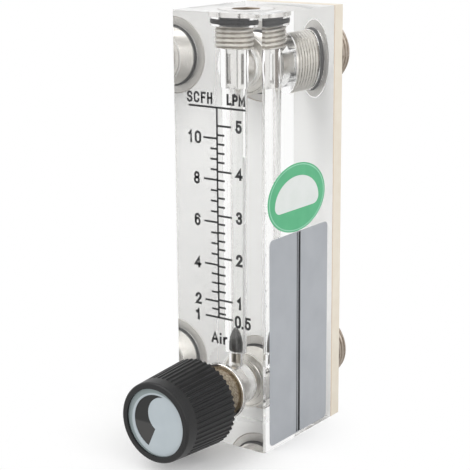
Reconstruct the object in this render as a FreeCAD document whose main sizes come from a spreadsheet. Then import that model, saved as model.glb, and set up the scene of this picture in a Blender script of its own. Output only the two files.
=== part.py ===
"""Panel rotameter: a clear block with a tapered tube and float, rear ports and a needle valve in front.

The frame's origin is the middle of the clear block's base. +Z is up along the tube, the scale face and the knob
look towards -Y, and the two ports leave towards +Y. All sizes are millimetres.
"""
import FreeCAD, Part
import math
import os
import Sketcher

SIZES = [
    # clear block and rear plate
    ("body_width", 30.0, "clear block, left to right"),
    ("body_depth", 34.0, "clear block, scale face to rear face"),
    ("body_height", 120.0, "clear block, base to top"),
    ("edge_bevel", 0.5, "bevel along the block's two front corners"),
    ("plate_thickness", 4.4, "rear plate"),
    # clearances
    ("fit_gap", 0.05, "radial gap of a piece that screws or presses in"),
    ("turn_gap", 0.03, "radial gap of a piece that turns or slides"),
    # metering tube and float
    ("tube_setback", 13.3, "scale face to tube axis"),
    ("tube_rise", 9.7, "inlet axis to the shoulder under the float"),
    ("tube_low_radius", 3.5, "tube bore at its narrow lower end"),
    ("tube_high_radius", 3.95, "tube bore at its wide upper end"),
    ("passage_radius", 2.3, "bore between the tube and the valve chamber"),
    ("float_radius", 3.42, "float at its metering edge"),
    ("float_length", 6.1, "float, flat bottom to nose"),
    ("float_belly", 1.5, "flat bottom to the start of the nose"),
    ("float_bevel", 0.5, "bevel round the float's flat bottom"),
    ("float_tip_radius", 0.9, "flat on the float's nose"),
    ("float_seat_bore", 1.2, "hole through the float seat"),
    ("float_seat_length", 3.2, "float seat"),
    ("float_seat_proud", 0.2, "float seat above the tube's shoulder"),
    # top plug and upper float stop
    ("plug_head_radius", 7.8, "plug head"),
    ("plug_head_thickness", 1.7, "plug head"),
    ("plug_gland_radius", 7.4, "bore round the plug's sealing ring"),
    ("plug_gland_length", 2.5, "room for the plug's sealing ring"),
    ("plug_neck_radius", 5.0, "plug inside its sealing ring"),
    ("plug_thread_radius", 6.0, "plug thread, over its crests"),
    ("plug_thread_length", 5.9, "plug thread"),
    ("plug_key_width", 7.0, "hexagon key recess, across flats"),
    ("plug_key_depth", 3.0, "hexagon key recess"),
    ("stop_radius", 4.3, "upper float stop"),
    ("stop_wall", 1.4, "upper float stop"),
    ("stop_length", 10.5, "upper float stop"),
    ("stop_slots", 6, "slots round the upper float stop"),
    ("stop_slot_width", 1.4, "slot in the upper float stop"),
    ("stop_end_ring", 1.2, "closed ring at each end of the stop"),
    # rear ports
    ("port_low_height", 15.0, "base to the inlet axis, also the valve axis"),
    ("port_high_setback", 15.0, "top to the outlet axis"),
    ("port_thread_radius", 8.33, "fitting's thread in the block, over its crests"),
    ("port_thread_depth", 13.5, "rear face to the fitting's inner end"),
    ("port_thread_spare", 0.5, "bore beyond the fitting's inner end"),
    ("port_pilot_radius", 6.3, "bore beyond the port thread"),
    ("outlet_pilot_depth", 19.0, "rear face to the end of the outlet's pilot bore"),
    ("port_gland_radius", 8.85, "counterbore round the fitting's sealing ring"),
    ("port_gland_depth", 2.8, "counterbore round the fitting's sealing ring"),
    ("port_neck_radius", 6.6, "fitting inside its sealing ring"),
    ("flange_radius", 11.0, "fitting's flange"),
    ("flange_thickness", 1.2, "fitting's flange"),
    ("bulkhead_radius", 10.0, "fitting's outer thread, over its crests"),
    ("bulkhead_reach", 13.0, "fitting beyond the rear plate"),
    ("bulkhead_chamfer", 0.8, "lead chamfer on the fitting's outer end"),
    ("bulkhead_relief", 0.4, "undercut of the fitting where it passes the plate"),
    ("bulkhead_turns", 8, "grooves of the fitting's outer thread"),
    ("bulkhead_crest", 0.2, "flat on each crest of the outer thread"),
    ("bulkhead_thread_depth", 0.85, "outer thread, crest to root"),
    ("bulkhead_thread_root", 0.3, "flat in each groove of the outer thread"),
    ("fitting_bore", 4.0, "flow bore through the fitting"),
    ("pipe_bore", 5.72, "tapped bore for the pipe"),
    ("pipe_bore_depth", 12.0, "tapped bore for the pipe"),
    # needle valve in the block
    ("chamber_depth", 16.0, "scale face to the end of the valve chamber"),
    ("seat_wall", 3.0, "wall between the valve chamber and the inlet"),
    ("valve_seat_radius", 2.6, "valve seat"),
    ("valve_seat_bore", 1.2, "orifice that the needle closes"),
    ("bonnet_collar_radius", 6.7, "knurled collar in front of the scale face"),
    ("bonnet_collar_reach", 12.0, "knurled collar in front of the scale face"),
    ("bonnet_flange_radius", 8.2, "bonnet flange, flush with the scale face"),
    ("bonnet_flange_thickness", 1.5, "bonnet flange"),
    ("bonnet_gland_length", 2.0, "room for the bonnet's sealing ring"),
    ("bonnet_neck_radius", 4.4, "bonnet inside its sealing ring"),
    ("bonnet_shank_radius", 6.0, "bonnet thread, over its crests"),
    ("bonnet_shank_depth", 10.6, "scale face to the bonnet's inner end"),
    ("stem_thread_radius", 3.0, "stem thread, over its crests"),
    ("stem_thread_depth", 3.0, "scale face to the inner end of the stem thread"),
    ("stem_thread_runout", 0.5, "bonnet thread beyond the stem thread"),
    ("stem_barrel_radius", 2.55, "smooth part of the stem"),
    ("stem_barrel_depth", 10.2, "scale face to the end of the smooth part"),
    ("stem_groove_setback", 8.7, "scale face to the stem's ring groove"),
    ("stem_groove_length", 1.1, "stem's ring groove"),
    ("stem_groove_radius", 1.6, "stem at the floor of its ring groove"),
    ("needle_radius", 2.0, "needle shaft"),
    ("needle_taper_lead", 2.8, "needle cone in front of the valve seat"),
    ("needle_point_length", 2.7, "needle cone inside the valve seat"),
    ("needle_point_radius", 0.35, "flat on the needle's point"),
    # knob
    ("knob_standoff", 9.8, "scale face to the knob's rear rim, valve closed"),
    ("knob_length", 19.4, "knob, rear rim to front rim"),
    ("knob_rear_radius", 12.3, "knob at its rear rim"),
    ("knob_front_radius", 11.1, "knob at its front rim"),
    ("knob_rim_fillet", 0.7, "rounding on the front rim"),
    ("knob_recess_radius", 9.3, "hollow in the knob's rear"),
    ("knob_hub_radius", 5.0, "hub inside the hollow"),
    ("knob_hub_setback", 4.2, "hub behind the rear rim"),
    ("knob_web", 2.5, "wall between the hollow and the cap"),
    ("knob_shaft_radius", 2.5, "stem inside the hub"),
    ("flute_count", 48, "grip flutes"),
    ("flute_radius", 0.5, "cutter of a grip flute"),
    ("flute_centre_height", 0.05, "flute axis above the knob's skin"),
    ("flute_length", 15.8, "rear rim to the rounded end of a flute"),
    ("cap_radius", 9.4, "knob cap"),
    ("cap_setback", 0.7, "cap face behind the front rim"),
    ("cap_thickness", 1.6, "knob cap"),
    ("mark_radius", 7.7, "outer arc of the comma mark"),
    ("mark_shift", 0.4, "outer arc's centre, right of the knob's axis"),
    ("lobe_radius", 5.05, "inner arc of the comma mark"),
    ("lobe_across", 2.45, "inner arc's centre, right of the knob's axis"),
    ("lobe_up", 2.35, "inner arc's centre, above the knob's axis"),
    ("mark_notch", 0.3, "inner corner of the mark, left of the axis"),
    ("mark_tail", 2.7, "lower corner of the mark, left of the axis"),
    ("mark_depth", 0.6, "recess that holds the mark"),
    ("mark_sink", 0.15, "mark's face below the cap's face"),
    ("screw_head_radius", 2.8, "knob screw"),
    ("screw_head_thickness", 1.6, "knob screw"),
    ("screw_radius", 1.5, "knob screw's thread"),
    ("screw_grip", 6.0, "knob screw inside the stem"),
    ("screw_slot_width", 0.9, "slot in the screw's head"),
    ("screw_slot_depth", 0.8, "slot in the screw's head"),
    # label and sticker
    ("label_setback", 2.45, "scale face to the label's front edge"),
    ("label_width", 28.75, "label, front to rear"),
    ("label_lift", 1.1, "base to the label's lower edge"),
    ("label_height", 58.8, "label"),
    ("label_corner", 1.5, "label's corner radius"),
    ("label_thickness", 0.15, "label"),
    ("sticker_half_width", 14.0, "oval sticker"),
    ("sticker_half_height", 9.5, "oval sticker"),
    ("sticker_setback", 15.6, "scale face to the sticker's centre"),
    ("sticker_gap", 0.15, "label's upper edge to the sticker"),
    ("sticker_thickness", 0.12, "oval sticker"),
]


class Size:
    """A length that knows both its spreadsheet expression and its present value."""

    def __init__(self, text, value):
        self.text = text
        self.value = value

    @staticmethod
    def of(number):
        return number if isinstance(number, Size) else Size(repr(float(number)), float(number))

    def __add__(self, other):
        other = Size.of(other)
        return Size(f"({self.text} + {other.text})", self.value + other.value)

    def __sub__(self, other):
        other = Size.of(other)
        return Size(f"({self.text} - {other.text})", self.value - other.value)

    def __mul__(self, factor):
        factor = Size.of(factor)
        return Size(f"({self.text} * {factor.text})", self.value * factor.value)

    def __truediv__(self, divisor):
        divisor = Size.of(divisor)
        return Size(f"({self.text} / {divisor.text})", self.value / divisor.value)

    def __neg__(self):
        return Size(f"(-1 * {self.text})", -self.value)


doc = FreeCAD.newDocument("panel_rotameter")
sheet = doc.addObject("Spreadsheet::Sheet", "sizes")
size = {}
for row, (alias, number, meaning) in enumerate(SIZES, start=1):
    sheet.set(f"A{row}", meaning)
    sheet.set(f"B{row}", str(number))
    sheet.setAlias(f"B{row}", alias)
    size[alias] = Size(f"sizes.{alias}", float(number))
doc.recompute()

ZERO = Size.of(0)
OVERRUN = Size.of(1)                                     # how far a cut runs past the face it opens on
FRONT = -(size["body_depth"] / 2)                        # y of the scale face
REAR = size["body_depth"] / 2                            # y of the clear block's rear face
TUBE_Y = FRONT + size["tube_setback"]
INLET_Z = size["port_low_height"]
OUTLET_Z = size["body_height"] - size["port_high_setback"]
PLUG_SEAT_Z = size["body_height"] - size["plug_head_thickness"]
PLUG_THREAD_TOP_Z = PLUG_SEAT_Z - size["plug_gland_length"]
PLUG_END_Z = PLUG_THREAD_TOP_Z - size["plug_thread_length"]
STOP_END_Z = PLUG_END_Z - size["stop_length"]
TUBE_LOW_Z = INLET_Z + size["tube_rise"]
FLOAT_SEAT_TOP_Z = TUBE_LOW_Z + size["float_seat_proud"]
KNOB_FRONT = -(size["knob_standoff"] + size["knob_length"])   # y from the scale face, as the next four
CAP_FACE = KNOB_FRONT + size["cap_setback"]
CAP_BACK = CAP_FACE + size["cap_thickness"]
SCREW_HEAD_BACK = CAP_BACK + size["screw_head_thickness"]
KNOB_WEB_BACK = CAP_BACK + size["knob_web"]


def origin_feature(body, role):
    return next(item for item in body.Origin.OriginFeatures if item.Role == role)


def new_body(label, y=ZERO, z=ZERO):
    body = doc.addObject("PartDesign::Body", label)
    body.Label = label
    body.setExpression("Placement.Base.y", y.text)
    body.setExpression("Placement.Base.z", z.text)
    return body


def new_sketch(body, name, role, across=ZERO, up=ZERO):
    sketch = body.newObject("Sketcher::SketchObject", name)
    sketch.AttachmentSupport = (origin_feature(body, role), [""])
    sketch.MapMode = "FlatFace"
    sketch.setExpression("AttachmentOffset.Base.x", across.text)
    sketch.setExpression("AttachmentOffset.Base.y", up.text)
    return sketch


def bind(sketch, kind, references, length):
    index = sketch.addConstraint(Sketcher.Constraint(kind, *references, length.value))
    sketch.setExpression(f"Constraints[{index}]", length.text)


def pin_point(sketch, edge, end, point):
    """Hold one end of an edge at a point given as (across, up) from the sketch's origin."""
    bind(sketch, "DistanceX", (-1, 1, edge, end), point[0])
    bind(sketch, "DistanceY", (-1, 1, edge, end), point[1])


def draw_outline(sketch, points):
    """A closed outline of straight edges, every corner held by its two sizes."""
    first = sketch.GeometryCount
    count = len(points)
    vectors = [FreeCAD.Vector(across.value, up.value, 0) for across, up in points]
    for step in range(count):
        sketch.addGeometry(Part.LineSegment(vectors[step], vectors[(step + 1) % count]), False)
    for step in range(count):
        following = first + (step + 1) % count
        sketch.addConstraint(Sketcher.Constraint("Coincident", first + step, 2, following, 1))
    for step, point in enumerate(points):
        pin_point(sketch, first + step, 1, point)


def turn(body, name, role, points, axis, kind="PartDesign::Revolution", across=ZERO, up=ZERO):
    """Turn a closed outline round one axis of its sketch, to add or to cut metal."""
    sketch = new_sketch(body, name + "_profile", role, across, up)
    draw_outline(sketch, points)
    feature = body.newObject(kind, name)
    feature.Profile = sketch
    feature.ReferenceAxis = (sketch, [axis])
    feature.Angle = 360.0
    return feature


def turn_profile_aside(feature, angle):
    """Turn a lengthwise profile round its own axis, and with it the seam of the turned face."""
    sketch = feature.Profile[0]
    sketch.AttachmentOffset = FreeCAD.Placement(
        FreeCAD.Vector(0, 0, 0), FreeCAD.Rotation(FreeCAD.Vector(1, 0, 0), angle.value))
    sketch.setExpression("AttachmentOffset.Rotation.Angle", angle.text)


def turn_lengthwise(body, name, points, **options):
    """Points are (y, radius): the axis runs along Y."""
    return turn(body, name, "YZ_Plane", points, "H_Axis", **options)


def turn_upright(body, name, points, **options):
    """Points are (radius, z): the axis runs along Z."""
    return turn(body, name, "XZ_Plane", points, "V_Axis", **options)


def bore_lengthwise(body, name, points, across=ZERO, up=ZERO):
    return turn_lengthwise(body, name, points, kind="PartDesign::Groove", across=across, up=up)


def extrude(body, name, sketch, length, kind="PartDesign::Pad"):
    feature = body.newObject(kind, name)
    feature.Profile = sketch
    feature.setExpression("Length", length.text)
    return feature


def cut_into(body, name, sketch, length, reverse=False):
    feature = extrude(body, name, sketch, length, "PartDesign::Pocket")
    feature.Reversed = reverse
    return feature


def repeat_round(body, name, feature, axis_role, count):
    pattern = body.newObject("PartDesign::PolarPattern", name)
    pattern.Originals = [feature]
    pattern.Axis = (origin_feature(body, axis_role), [""])
    pattern.Angle = 360.0
    pattern.setExpression("Occurrences", count.text)
    body.Tip = pattern
    return pattern


def fillet(body, name, base, radius, wanted):
    """Round the edges of the base feature for which wanted(edge) is true."""
    doc.recompute()
    names = [f"Edge{i}" for i, edge in enumerate(base.Shape.Edges, start=1) if wanted(edge)]
    feature = body.newObject("PartDesign::Fillet", name)
    feature.Base = (base, names)
    feature.setExpression("Radius", radius.text)
    return feature


def new_ring(label, y, z, outer, inner, lengthwise):
    """A sealing ring that fills its gland: outer and inner are the gland's two radii."""
    ring = doc.addObject("Part::Torus", label)
    ring.Label = label
    section = (outer - inner) / 2 - size["turn_gap"]
    ring.setExpression("Radius1", ((outer + inner) / 2).text)
    ring.setExpression("Radius2", section.text)
    if lengthwise:
        ring.Placement.Rotation = FreeCAD.Rotation(FreeCAD.Vector(1, 0, 0), 90)
    ring.setExpression("Placement.Base.y", y.text)
    ring.setExpression("Placement.Base.z", z.text)
    return ring


def make_meter_body():
    """Clear block, with the tube bored from the top, a port from the rear at each end and the valve bore."""
    body = new_body("meter_body")
    half, bevel = size["body_width"] / 2, size["edge_bevel"]
    outline = new_sketch(body, "block_outline", "XY_Plane")
    draw_outline(outline, [
        (-half, FRONT + bevel), (-half + bevel, FRONT), (half - bevel, FRONT),
        (half, FRONT + bevel), (half, REAR), (-half, REAR)])
    extrude(body, "block", outline, size["body_height"])

    gap = size["fit_gap"]
    top = size["body_height"] + OVERRUN
    turn(body, "tube_bore", "YZ_Plane", [
        (ZERO, INLET_Z), (size["passage_radius"], INLET_Z),
        (size["passage_radius"], TUBE_LOW_Z),
        (size["tube_low_radius"], TUBE_LOW_Z),
        (size["tube_high_radius"], STOP_END_Z - gap),
        (size["stop_radius"] + gap, STOP_END_Z - gap),
        (size["stop_radius"] + gap, PLUG_END_Z - gap),
        (size["plug_thread_radius"] + gap, PLUG_END_Z - gap),
        (size["plug_thread_radius"] + gap, PLUG_THREAD_TOP_Z),
        (size["plug_gland_radius"], PLUG_THREAD_TOP_Z),
        (size["plug_gland_radius"], PLUG_SEAT_Z),
        (size["plug_head_radius"] + gap, PLUG_SEAT_Z),
        (size["plug_head_radius"] + gap, top), (ZERO, top),
    ], "V_Axis", kind="PartDesign::Groove", across=TUBE_Y)

    thread = size["port_thread_radius"] + gap
    thread_end = -(size["port_thread_depth"] + size["port_thread_spare"])
    drill_point = size["port_pilot_radius"] * math.tan(math.radians(31))
    port_mouth = [
        (OVERRUN, ZERO), (OVERRUN, size["port_gland_radius"]),
        (-size["port_gland_depth"], size["port_gland_radius"]),
        (-size["port_gland_depth"], thread), (thread_end, thread),
        (thread_end, size["port_pilot_radius"])]
    outlet_end = -size["outlet_pilot_depth"]
    bore_lengthwise(body, "outlet_port", port_mouth + [
        (outlet_end, size["port_pilot_radius"]), (outlet_end - drill_point, ZERO)],
        across=REAR, up=OUTLET_Z)
    inlet_end = size["chamber_depth"] + size["seat_wall"] - size["body_depth"]
    bore_lengthwise(body, "inlet_port", port_mouth + [
        (inlet_end, size["port_pilot_radius"]), (inlet_end, ZERO)],
        across=REAR, up=INLET_Z)

    recess = size["bonnet_flange_radius"] + gap
    chamber = size["bonnet_shank_radius"] + gap
    wall_back = size["chamber_depth"] + size["seat_wall"] + OVERRUN
    bore_lengthwise(body, "valve_bore", [
        (-OVERRUN, ZERO), (-OVERRUN, recess),
        (size["bonnet_flange_thickness"], recess), (size["bonnet_flange_thickness"], chamber),
        (size["chamber_depth"], chamber), (size["chamber_depth"], size["valve_seat_radius"] + gap),
        (wall_back, size["valve_seat_radius"] + gap), (wall_back, ZERO)],
        across=FRONT, up=INLET_Z)
    return body


def make_back_plate():
    """Plate on the rear face, counterbored for the flanges of the two fittings."""
    body = new_body("back_plate", y=REAR)
    half, gap = size["body_width"] / 2, size["fit_gap"]
    outline = new_sketch(body, "plate_outline", "XY_Plane")
    draw_outline(outline, [
        (-half, ZERO), (half, ZERO), (half, size["plate_thickness"]), (-half, size["plate_thickness"])])
    extrude(body, "plate", outline, size["body_height"])
    shelf = size["flange_thickness"] + gap
    back = size["plate_thickness"] + OVERRUN
    for name, height in (("inlet_hole", INLET_Z), ("outlet_hole", OUTLET_Z)):
        bore_lengthwise(body, name, [
            (-OVERRUN, ZERO), (-OVERRUN, size["flange_radius"] + gap),
            (shelf, size["flange_radius"] + gap), (shelf, size["bulkhead_radius"] + gap),
            (back, size["bulkhead_radius"] + gap), (back, ZERO)], up=height)
    return body


def make_fitting(label, height):
    """Turned port fitting: inner thread in the block, flange, outer thread and a tapped bore for the pipe."""
    body = new_body(label, y=REAR, z=height)
    lead = size["bulkhead_chamfer"]
    outer_end = size["plate_thickness"] + size["bulkhead_reach"]
    inner_end = -size["port_thread_depth"]
    bore_end = outer_end - size["pipe_bore_depth"]
    bore_cone = (size["pipe_bore"] - size["fitting_bore"]) * math.tan(math.radians(31))
    turn_lengthwise(body, label + "_turning", [
        (inner_end, size["fitting_bore"]), (inner_end, size["port_thread_radius"] - lead),
        (inner_end + lead, size["port_thread_radius"]),
        (-size["port_gland_depth"], size["port_thread_radius"]),
        (-size["port_gland_depth"], size["port_neck_radius"]),
        (ZERO, size["port_neck_radius"]), (ZERO, size["flange_radius"]),
        (size["flange_thickness"], size["flange_radius"]),
        (size["flange_thickness"], size["bulkhead_radius"] - size["bulkhead_relief"]),
        (size["plate_thickness"], size["bulkhead_radius"] - size["bulkhead_relief"]),
        (size["plate_thickness"], size["bulkhead_radius"]),
        (outer_end - lead, size["bulkhead_radius"]), (outer_end, size["bulkhead_radius"] - lead),
        (outer_end, size["pipe_bore"]), (bore_end, size["pipe_bore"]),
        (bore_end - bore_cone, size["fitting_bore"])])
    cut_bulkhead_thread(body, label)
    return body


def cut_bulkhead_thread(body, label):
    """Outer thread of a fitting as even grooves, from the plate to the lead chamfer."""
    turns, crest = size["bulkhead_turns"], size["bulkhead_crest"]
    room = size["bulkhead_reach"] - size["bulkhead_chamfer"]
    pitch = (room - crest) / turns
    start = size["plate_thickness"] + crest
    groove_end = start + pitch - crest
    middle = (start + groove_end) / 2
    root_radius = size["bulkhead_radius"] - size["bulkhead_thread_depth"]
    root_half, outside = size["bulkhead_thread_root"] / 2, size["bulkhead_radius"] + OVERRUN
    groove = turn_lengthwise(body, label + "_thread_groove", [
        (start, size["bulkhead_radius"]), (start, outside), (groove_end, outside),
        (groove_end, size["bulkhead_radius"]), (middle + root_half, root_radius),
        (middle - root_half, root_radius)], kind="PartDesign::Groove")
    pattern = body.newObject("PartDesign::LinearPattern", label + "_thread")
    pattern.Originals = [groove]
    pattern.Direction = (origin_feature(body, "Y_Axis"), [""])
    pattern.setExpression("Length", (pitch * (turns - 1)).text)
    pattern.setExpression("Occurrences", turns.text)
    body.Tip = pattern


def make_top_plug():
    """Plug over the tube: flush head with a hexagon key recess, ring neck and thread."""
    body = new_body("top_plug", y=TUBE_Y)
    turn_upright(body, "plug_turning", [
        (ZERO, PLUG_END_Z), (size["plug_thread_radius"], PLUG_END_Z),
        (size["plug_thread_radius"], PLUG_THREAD_TOP_Z), (size["plug_neck_radius"], PLUG_THREAD_TOP_Z),
        (size["plug_neck_radius"], PLUG_SEAT_Z), (size["plug_head_radius"], PLUG_SEAT_Z),
        (size["plug_head_radius"], size["body_height"]), (ZERO, size["body_height"])])
    corner = size["plug_key_width"] / (2 * math.cos(math.radians(30)))
    hexagon = [(corner * math.cos(math.radians(60 * k)), corner * math.sin(math.radians(60 * k)))
               for k in range(6)]
    key = new_sketch(body, "key_outline", "XY_Plane")
    key.setExpression("AttachmentOffset.Base.z", size["body_height"].text)
    draw_outline(key, hexagon)
    cut_into(body, "key_recess", key, size["plug_key_depth"])
    return body


def make_upper_float_stop():
    """Slotted sleeve under the plug: the float stops on its end, and the flow leaves through its slots."""
    body = new_body("upper_float_stop", y=TUBE_Y)
    inner = size["stop_radius"] - size["stop_wall"]
    turn_upright(body, "sleeve", [
        (inner, STOP_END_Z), (size["stop_radius"], STOP_END_Z),
        (size["stop_radius"], PLUG_END_Z), (inner, PLUG_END_Z)])
    half = size["stop_slot_width"] / 2
    low, high = STOP_END_Z + size["stop_end_ring"], PLUG_END_Z - size["stop_end_ring"]
    outline = new_sketch(body, "slot_outline", "XZ_Plane")
    draw_outline(outline, [(-half, low), (half, low), (half, high), (-half, high)])
    slot = cut_into(body, "slot", outline, size["stop_radius"] + OVERRUN)
    repeat_round(body, "slots", slot, "Z_Axis", size["stop_slots"])
    return body


def make_float():
    """Bullet-shaped float with a flat, bevelled bottom; its nose is one arc that leaves the side upright."""
    body = new_body("float", y=TUBE_Y, z=FLOAT_SEAT_TOP_Z + size["turn_gap"])
    radius, bevel, belly = size["float_radius"], size["float_bevel"], size["float_belly"]
    length, tip = size["float_length"], size["float_tip_radius"]
    profile = new_sketch(body, "float_profile", "XZ_Plane")
    corners = [(ZERO, length), (ZERO, ZERO), (radius - bevel, ZERO), (radius, bevel), (radius, belly)]
    vectors = [FreeCAD.Vector(across.value, up.value, 0) for across, up in corners]
    for start, end in zip(vectors, vectors[1:]):
        profile.addGeometry(Part.LineSegment(start, end), False)
    rise, run = length.value - belly.value, radius.value - tip.value
    nose_radius = (rise * rise + run * run) / (2 * run)
    sweep = math.asin(rise / nose_radius)
    centre = FreeCAD.Vector(radius.value - nose_radius, belly.value, 0)
    circle = Part.Circle(centre, FreeCAD.Vector(0, 0, 1), nose_radius)
    nose = profile.addGeometry(Part.ArcOfCircle(circle, 0, sweep), False)
    tip_end = FreeCAD.Vector(tip.value, length.value, 0)
    flat = profile.addGeometry(Part.LineSegment(tip_end, vectors[0]), False)
    joins = [(0, 2, 1, 1), (1, 2, 2, 1), (2, 2, 3, 1), (nose, 2, flat, 1), (flat, 2, 0, 1)]
    for join in joins:
        profile.addConstraint(Sketcher.Constraint("Coincident", *join))
    profile.addConstraint(Sketcher.Constraint("Tangent", 3, 2, nose, 1))
    for edge in range(4):
        pin_point(profile, edge, 1, corners[edge])
    pin_point(profile, nose, 1, corners[4])
    pin_point(profile, flat, 1, (tip, length))
    turning = body.newObject("PartDesign::Revolution", "float_turning")
    turning.Profile = profile
    turning.ReferenceAxis = (profile, ["V_Axis"])
    turning.Angle = 360.0
    return body


def make_float_seat():
    """Bush in the passage under the tube; the float rests on its rim."""
    body = new_body("float_seat", y=TUBE_Y)
    outer = size["passage_radius"] - size["fit_gap"]
    low = FLOAT_SEAT_TOP_Z - size["float_seat_length"]
    turn_upright(body, "float_seat_turning", [
        (size["float_seat_bore"], low), (outer, low),
        (outer, FLOAT_SEAT_TOP_Z), (size["float_seat_bore"], FLOAT_SEAT_TOP_Z)])
    return body


def make_valve_bonnet():
    """Bonnet that screws into the scale face and carries the stem: collar, flange, ring neck and shank."""
    body = new_body("valve_bonnet", y=FRONT, z=INLET_Z)
    collar_end, shank_end = -size["bonnet_collar_reach"], size["bonnet_shank_depth"]
    flange, gland = size["bonnet_flange_thickness"], size["bonnet_gland_length"]
    thread = size["stem_thread_radius"] + size["turn_gap"]
    barrel = size["stem_barrel_radius"] + size["turn_gap"]
    thread_end = size["stem_thread_depth"] + size["stem_thread_runout"]
    turn_lengthwise(body, "bonnet_turning", [
        (collar_end, thread), (collar_end, size["bonnet_collar_radius"]),
        (ZERO, size["bonnet_collar_radius"]), (ZERO, size["bonnet_flange_radius"]),
        (flange, size["bonnet_flange_radius"]), (flange, size["bonnet_neck_radius"]),
        (flange + gland, size["bonnet_neck_radius"]), (flange + gland, size["bonnet_shank_radius"]),
        (shank_end, size["bonnet_shank_radius"]), (shank_end, barrel),
        (thread_end, barrel), (thread_end, thread)])
    return body


def make_valve_seat():
    """Bush in the wall between the inlet and the valve chamber."""
    body = new_body("valve_seat", y=FRONT, z=INLET_Z)
    back = size["chamber_depth"] + size["seat_wall"]
    turn_lengthwise(body, "valve_seat_turning", [
        (size["chamber_depth"], size["valve_seat_bore"]), (size["chamber_depth"], size["valve_seat_radius"]),
        (back, size["valve_seat_radius"]), (back, size["valve_seat_bore"])])
    return body


def make_valve_stem():
    """Stem in one turning: knob end, thread, smooth barrel with its ring groove, and the needle."""
    body = new_body("valve_stem", y=FRONT, z=INLET_Z)
    shaft, thread = size["knob_shaft_radius"], size["stem_thread_radius"]
    barrel, groove = size["stem_barrel_radius"], size["stem_groove_radius"]
    hub_back = -(size["knob_standoff"] + size["knob_hub_setback"])
    groove_start = size["stem_groove_setback"]
    groove_end = groove_start + size["stem_groove_length"]
    seat_face = size["chamber_depth"]
    screw = size["screw_radius"] + size["turn_gap"]
    screw_end = KNOB_WEB_BACK + size["screw_grip"]
    turn_lengthwise(body, "stem_turning", [
        (KNOB_WEB_BACK, screw), (KNOB_WEB_BACK, shaft), (hub_back, shaft), (hub_back, thread),
        (size["stem_thread_depth"], thread), (size["stem_thread_depth"], barrel),
        (groove_start, barrel), (groove_start, groove), (groove_end, groove), (groove_end, barrel),
        (size["stem_barrel_depth"], barrel), (size["stem_barrel_depth"], size["needle_radius"]),
        (seat_face - size["needle_taper_lead"], size["needle_radius"]),
        (seat_face, size["valve_seat_bore"] - size["turn_gap"]),
        (seat_face + size["needle_point_length"], size["needle_point_radius"]),
        (seat_face + size["needle_point_length"], ZERO), (screw_end, ZERO), (screw_end, screw)])
    return body


def make_knob():
    """Fluted knob: tapered skin, recess for the cap in front, and a hollow with the hub behind."""
    body = new_body("knob", y=FRONT, z=INLET_Z)
    rear, web_back = -size["knob_standoff"], KNOB_WEB_BACK
    hub_back = rear - size["knob_hub_setback"]
    gap = size["fit_gap"]
    turned = turn_lengthwise(body, "knob_skin", [
        (rear, size["knob_recess_radius"]), (rear, size["knob_rear_radius"]),
        (KNOB_FRONT, size["knob_front_radius"]), (KNOB_FRONT, size["cap_radius"] + gap),
        (CAP_BACK, size["cap_radius"] + gap), (CAP_BACK, size["screw_head_radius"] + gap),
        (SCREW_HEAD_BACK, size["screw_head_radius"] + gap), (SCREW_HEAD_BACK, size["screw_radius"] + gap),
        (web_back, size["screw_radius"] + gap), (web_back, size["knob_shaft_radius"] + gap),
        (hub_back, size["knob_shaft_radius"] + gap), (hub_back, size["knob_hub_radius"]),
        (web_back, size["knob_hub_radius"]), (web_back, size["knob_recess_radius"])])
    turn_profile_aside(turned, Size.of(180) / size["flute_count"])

    def on_front_rim(edge):
        at_front = abs(edge.CenterOfMass.y - KNOB_FRONT.value) < 0.01
        return at_front and abs(edge.BoundBox.XMax - size["knob_front_radius"].value) < 0.01

    fillet(body, "knob_rim", turned, size["knob_rim_fillet"], on_front_rim)
    repeat_round(body, "flutes", cut_flute(body), "Y_Axis", size["flute_count"])
    return body


def cut_flute(body):
    """One flute at the top of the knob: a round-ended cutter that lies along the tapered skin."""
    radius, length = size["flute_radius"], size["flute_length"]
    taper = (size["knob_rear_radius"] - size["knob_front_radius"]) / size["knob_length"]
    profile = new_sketch(body, "flute_profile", "YZ_Plane", across=-size["knob_standoff"],
                         up=size["knob_rear_radius"] + size["flute_centre_height"])
    profile.setExpression("AttachmentOffset.Rotation.Angle", f"atan({taper.text})")
    side = FreeCAD.Vector(OVERRUN.value, radius.value, 0)
    shoulder = FreeCAD.Vector(radius.value - length.value, radius.value, 0)
    mouth, centre = FreeCAD.Vector(OVERRUN.value, 0, 0), FreeCAD.Vector(radius.value - length.value, 0, 0)
    nose = FreeCAD.Vector(-length.value, 0, 0)
    circle = Part.Circle(centre, FreeCAD.Vector(0, 0, 1), radius.value)
    profile.addGeometry([
        Part.LineSegment(mouth, side), Part.LineSegment(side, shoulder),
        Part.ArcOfCircle(circle, math.pi / 2, math.pi), Part.LineSegment(nose, mouth)], False)
    for join in ((0, 2, 1, 1), (2, 2, 3, 1), (3, 2, 0, 1)):
        profile.addConstraint(Sketcher.Constraint("Coincident", *join))
    pin_point(profile, 0, 1, (OVERRUN, ZERO))
    pin_point(profile, 1, 1, (OVERRUN, radius))
    pin_point(profile, 3, 1, (-length, ZERO))
    profile.addConstraint(Sketcher.Constraint("Horizontal", 1))
    profile.addConstraint(Sketcher.Constraint("Tangent", 1, 2, 2, 1))
    bind(profile, "Radius", (2,), radius)
    flute = body.newObject("PartDesign::Groove", "flute")
    flute.Profile = profile
    flute.ReferenceAxis = (profile, ["H_Axis"])
    flute.Angle = 360.0
    return flute


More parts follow.
